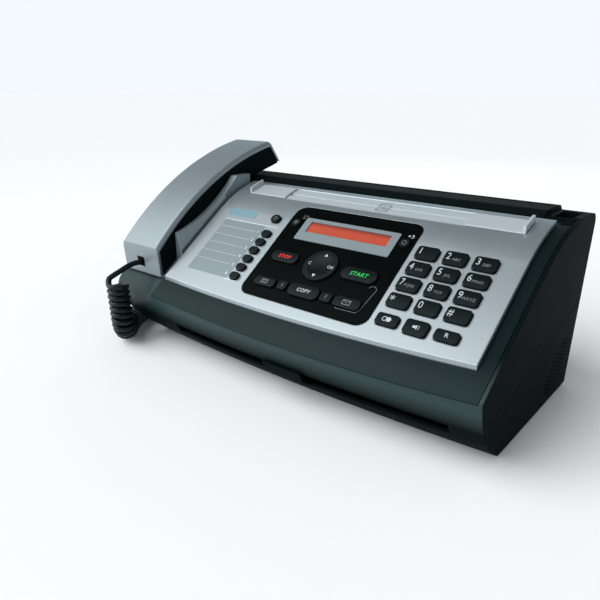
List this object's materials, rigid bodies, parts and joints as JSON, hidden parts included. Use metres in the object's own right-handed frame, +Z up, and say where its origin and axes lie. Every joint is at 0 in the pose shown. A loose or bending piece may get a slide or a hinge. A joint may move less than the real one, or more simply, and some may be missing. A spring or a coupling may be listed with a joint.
{
  "type": "fax machine",
  "caption": "Desktop thermal transfer fax machine with a sloping key panel, corded handset on a left-hand cradle, rear document feed and front paper exit.",
  "frame": {"origin": "centre of the footprint, on the surface it stands on", "axes": "+X to the right seen from the front, +Y towards the back, +Z up"},
  "size_m": [0.3822, 0.2017, 0.1693],
  "materials": {
    "housing_black": "satin moulded plastic",
    "lid_black": "smooth moulded plastic",
    "silver": "blue-grey metallic paint",
    "insert_black": "gloss printed film",
    "display_grey": "grey bezel round an orange display",
    "table_grey": "pale grey plastic",
    "cradle_grey": "grey plastic",
    "key_black": "smooth black keys",
    "cord_black": "soft cord jacket",
    "board_green": "glass fibre board",
    "steel": "zinc plated sheet",
    "roller_rubber": "black rubber sleeve",
    "film_black": "ribbon film wound on a core",
    "ceramic": "ceramic heater bar",
    "gear_white": "natural acetal",
    "feet_black": "rubber"
  },
  "bodies": {
    "housing": {"lower_housing": "housing_black", "upper_housing": "housing_black", "handset_cradle": "cradle_grey", "handset_cord": "cord_black", "cord_coil": "cord_black", "cord_socket": "housing_black", "chassis": "steel", "print_head": "ceramic", "drive_motor": "steel", "main_board": "board_green", "loudspeaker": "housing_black", "rubber_feet": "feet_black"},
    "lid": {"lid_shell": "lid_black", "panel_plate": "silver", "display_insert": "insert_black", "display_module": "display_grey", "document_table": "table_grey", "key_board": "board_green", "scan_sensor": "housing_black"},
    "left_guide": {"guide_left": "table_grey"},
    "right_guide": {"guide_right": "table_grey"},
    "handset": {"handset_shell": "silver", "handset_base": "housing_black"},
    "hook": {"hook_switch": "key_black"},
    "platen": {"platen_roller": "roller_rubber"},
    "supply": {"supply_spool": "film_black"},
    "takeup": {"takeup_spool": "film_black"},
    "motor": {"motor_gear": "gear_white"},
    "b_key_1": {"key_1": "key_black"},
    "b_key_2": {"key_2": "key_black"},
    "b_key_3": {"key_3": "key_black"},
    "b_key_4": {"key_4": "key_black"},
    "b_key_5": {"key_5": "key_black"},
    "b_key_6": {"key_6": "key_black"},
    "b_key_7": {"key_7": "key_black"},
    "b_key_8": {"key_8": "key_black"},
    "b_key_9": {"key_9": "key_black"},
    "b_key_star": {"key_star": "key_black"},
    "b_key_0": {"key_0": "key_black"},
    "b_key_hash": {"key_hash": "key_black"},
    "b_quick_key_1": {"quick_key_1": "key_black"},
    "b_quick_key_2": {"quick_key_2": "key_black"},
    "b_quick_key_3": {"quick_key_3": "key_black"},
    "b_quick_key_4": {"quick_key_4": "key_black"},
    "b_quick_key_5": {"quick_key_5": "key_black"},
    "b_quick_key_6": {"quick_key_6": "key_black"},
    "b_contrast_key": {"contrast_key": "key_black"},
    "b_speaker_key": {"speaker_key": "key_black"},
    "b_flash_key": {"flash_key": "key_black"},
    "b_redial_key": {"redial_key": "key_black"},
    "b_stop_key": {"stop_key": "key_black"},
    "b_start_key": {"start_key": "key_black"},
    "b_copy_key": {"copy_key": "key_black"},
    "b_nav_key": {"nav_key": "key_black"},
    "b_fax_key": {"fax_key": "key_black"},
    "b_info_key": {"info_key": "key_black"},
    "b_fine_key": {"fine_key": "key_black"},
    "b_mail_key": {"mail_key": "key_black"},
    "b_intercom_key": {"intercom_key": "key_black"},
    "b_answer_key": {"answer_key": "key_black"}
  },
  "joints": [
    {"name": "lid_hinge", "type": "hinge", "parent": "housing", "child": "lid", "pos_m": [0, 0.046, 0.12651], "axis": [-1, 0, 0], "range_deg": [0, 50]},
    {"name": "guide_left_slide", "type": "slide", "parent": "lid", "child": "left_guide", "axis": [1, 0, 0], "range_m": [0, 0.02]},
    {"name": "guide_right_slide", "type": "slide", "parent": "lid", "child": "right_guide", "axis": [-1, 0, 0], "range_m": [0, 0.02]},
    {"name": "handset_lift", "type": "slide", "parent": "housing", "child": "handset", "axis": [0, 0, 1], "range_m": [0, 0.08]},
    {"name": "hook_press", "type": "slide", "parent": "housing", "child": "hook", "axis": [0, 0, -1], "range_m": [0, 0.003], "stiffness_N_per_m": 150, "springref_m": -0.001},
    {"name": "platen_turn", "type": "hinge", "parent": "housing", "child": "platen", "pos_m": [0, -0.022, 0.06], "axis": [1, 0, 0], "continuous": true},
    {"name": "supply_turn", "type": "hinge", "parent": "housing", "child": "supply", "pos_m": [0, 0.03, 0.062], "axis": [1, 0, 0], "continuous": true},
    {"name": "takeup_turn", "type": "hinge", "parent": "housing", "child": "takeup", "pos_m": [0, -0.04746, 0.03454], "axis": [1, 0, 0], "continuous": true},
    {"name": "motor_turn", "type": "hinge", "parent": "housing", "child": "motor", "pos_m": [0, -0.00468, 0.05], "axis": [1, 0, 0], "continuous": true},
    {"name": "key_1_press", "type": "slide", "parent": "lid", "child": "b_key_1", "axis": [0, 0.5807, -0.8141], "range_m": [0, 0.0012], "stiffness_N_per_m": 400, "springref_m": -0.001},
    {"name": "key_2_press", "type": "slide", "parent": "lid", "child": "b_key_2", "axis": [0, 0.5807, -0.8141], "range_m": [0, 0.0012], "stiffness_N_per_m": 400, "springref_m": -0.001},
    {"name": "key_3_press", "type": "slide", "parent": "lid", "child": "b_key_3", "axis": [0, 0.5807, -0.8141], "range_m": [0, 0.0012], "stiffness_N_per_m": 400, "springref_m": -0.001},
    {"name": "key_4_press", "type": "slide", "parent": "lid", "child": "b_key_4", "axis": [0, 0.5807, -0.8141], "range_m": [0, 0.0012], "stiffness_N_per_m": 400, "springref_m": -0.001},
    {"name": "key_5_press", "type": "slide", "parent": "lid", "child": "b_key_5", "axis": [0, 0.5807, -0.8141], "range_m": [0, 0.0012], "stiffness_N_per_m": 400, "springref_m": -0.001},
    {"name": "key_6_press", "type": "slide", "parent": "lid", "child": "b_key_6", "axis": [0, 0.5807, -0.8141], "range_m": [0, 0.0012], "stiffness_N_per_m": 400, "springref_m": -0.001},
    {"name": "key_7_press", "type": "slide", "parent": "lid", "child": "b_key_7", "axis": [0, 0.5807, -0.8141], "range_m": [0, 0.0012], "stiffness_N_per_m": 400, "springref_m": -0.001},
    {"name": "key_8_press", "type": "slide", "parent": "lid", "child": "b_key_8", "axis": [0, 0.5807, -0.8141], "range_m": [0, 0.0012], "stiffness_N_per_m": 400, "springref_m": -0.001},
    {"name": "key_9_press", "type": "slide", "parent": "lid", "child": "b_key_9", "axis": [0, 0.5807, -0.8141], "range_m": [0, 0.0012], "stiffness_N_per_m": 400, "springref_m": -0.001},
    {"name": "key_star_press", "type": "slide", "parent": "lid", "child": "b_key_star", "axis": [0, 0.5807, -0.8141], "range_m": [0, 0.0012], "stiffness_N_per_m": 400, "springref_m": -0.001},
    {"name": "key_0_press", "type": "slide", "parent": "lid", "child": "b_key_0", "axis": [0, 0.5807, -0.8141], "range_m": [0, 0.0012], "stiffness_N_per_m": 400, "springref_m": -0.001},
    {"name": "key_hash_press", "type": "slide", "parent": "lid", "child": "b_key_hash", "axis": [0, 0.5807, -0.8141], "range_m": [0, 0.0012], "stiffness_N_per_m": 400, "springref_m": -0.001},
    {"name": "quick_key_1_press", "type": "slide", "parent": "lid", "child": "b_quick_key_1", "axis": [0, 0.5807, -0.8141], "range_m": [0, 0.0012], "stiffness_N_per_m": 400, "springref_m": -0.001},
    {"name": "quick_key_2_press", "type": "slide", "parent": "lid", "child": "b_quick_key_2", "axis": [0, 0.5807, -0.8141], "range_m": [0, 0.0012], "stiffness_N_per_m": 400, "springref_m": -0.001},
    {"name": "quick_key_3_press", "type": "slide", "parent": "lid", "child": "b_quick_key_3", "axis": [0, 0.5807, -0.8141], "range_m": [0, 0.0012], "stiffness_N_per_m": 400, "springref_m": -0.001},
    {"name": "quick_key_4_press", "type": "slide", "parent": "lid", "child": "b_quick_key_4", "axis": [0, 0.5807, -0.8141], "range_m": [0, 0.0012], "stiffness_N_per_m": 400, "springref_m": -0.001},
    {"name": "quick_key_5_press", "type": "slide", "parent": "lid", "child": "b_quick_key_5", "axis": [0, 0.5807, -0.8141], "range_m": [0, 0.0012], "stiffness_N_per_m": 400, "springref_m": -0.001},
    {"name": "quick_key_6_press", "type": "slide", "parent": "lid", "child": "b_quick_key_6", "axis": [0, 0.5807, -0.8141], "range_m": [0, 0.0012], "stiffness_N_per_m": 400, "springref_m": -0.001},
    {"name": "contrast_key_press", "type": "slide", "parent": "lid", "child": "b_contrast_key", "axis": [0, 0.5807, -0.8141], "range_m": [0, 0.0012], "stiffness_N_per_m": 400, "springref_m": -0.001},
    {"name": "speaker_key_press", "type": "slide", "parent": "lid", "child": "b_speaker_key", "axis": [0, 0.5807, -0.8141], "range_m": [0, 0.0012], "stiffness_N_per_m": 400, "springref_m": -0.001},
    {"name": "flash_key_press", "type": "slide", "parent": "lid", "child": "b_flash_key", "axis": [0, 0.5807, -0.8141], "range_m": [0, 0.0012], "stiffness_N_per_m": 400, "springref_m": -0.001},
    {"name": "redial_key_press", "type": "slide", "parent": "lid", "child": "b_redial_key", "axis": [0, 0.5807, -0.8141], "range_m": [0, 0.0012], "stiffness_N_per_m": 400, "springref_m": -0.001},
    {"name": "stop_key_press", "type": "slide", "parent": "lid", "child": "b_stop_key", "axis": [0, 0.5807, -0.8141], "range_m": [0, 0.0012], "stiffness_N_per_m": 400, "springref_m": -0.001},
    {"name": "start_key_press", "type": "slide", "parent": "lid", "child": "b_start_key", "axis": [0, 0.5807, -0.8141], "range_m": [0, 0.0012], "stiffness_N_per_m": 400, "springref_m": -0.001},
    {"name": "copy_key_press", "type": "slide", "parent": "lid", "child": "b_copy_key", "axis": [0, 0.5807, -0.8141], "range_m": [0, 0.0012], "stiffness_N_per_m": 400, "springref_m": -0.001},
    {"name": "nav_key_press", "type": "slide", "parent": "lid", "child": "b_nav_key", "axis": [0, 0.5807, -0.8141], "range_m": [0, 0.0012], "stiffness_N_per_m": 400, "springref_m": -0.001},
    {"name": "fax_key_press", "type": "slide", "parent": "lid", "child": "b_fax_key", "axis": [0, 0.5807, -0.8141], "range_m": [0, 0.0012], "stiffness_N_per_m": 400, "springref_m": -0.001},
    {"name": "info_key_press", "type": "slide", "parent": "lid", "child": "b_info_key", "axis": [0, 0.5807, -0.8141], "range_m": [0, 0.0012], "stiffness_N_per_m": 400, "springref_m": -0.001},
    {"name": "fine_key_press", "type": "slide", "parent": "lid", "child": "b_fine_key", "axis": [0, 0.5807, -0.8141], "range_m": [0, 0.0012], "stiffness_N_per_m": 400, "springref_m": -0.001},
    {"name": "mail_key_press", "type": "slide", "parent": "lid", "child": "b_mail_key", "axis": [0, 0.5807, -0.8141], "range_m": [0, 0.0012], "stiffness_N_per_m": 400, "springref_m": -0.001},
    {"name": "intercom_key_press", "type": "slide", "parent": "lid", "child": "b_intercom_key", "axis": [0, 0.5807, -0.8141], "range_m": [0, 0.0012], "stiffness_N_per_m": 400, "springref_m": -0.001},
    {"name": "answer_key_press", "type": "slide", "parent": "lid", "child": "b_answer_key", "axis": [0, 0.5807, -0.8141], "range_m": [0, 0.0012], "stiffness_N_per_m": 400, "springref_m": -0.001}
  ],
  "couplings": [
    {"joint": "guide_right_slide", "follows": "guide_left_slide", "ratio": 1},
    {"joint": "takeup_turn", "follows": "platen_turn", "ratio": -0.63636},
    {"joint": "motor_turn", "follows": "platen_turn", "ratio": -2.3333}
  ]
}
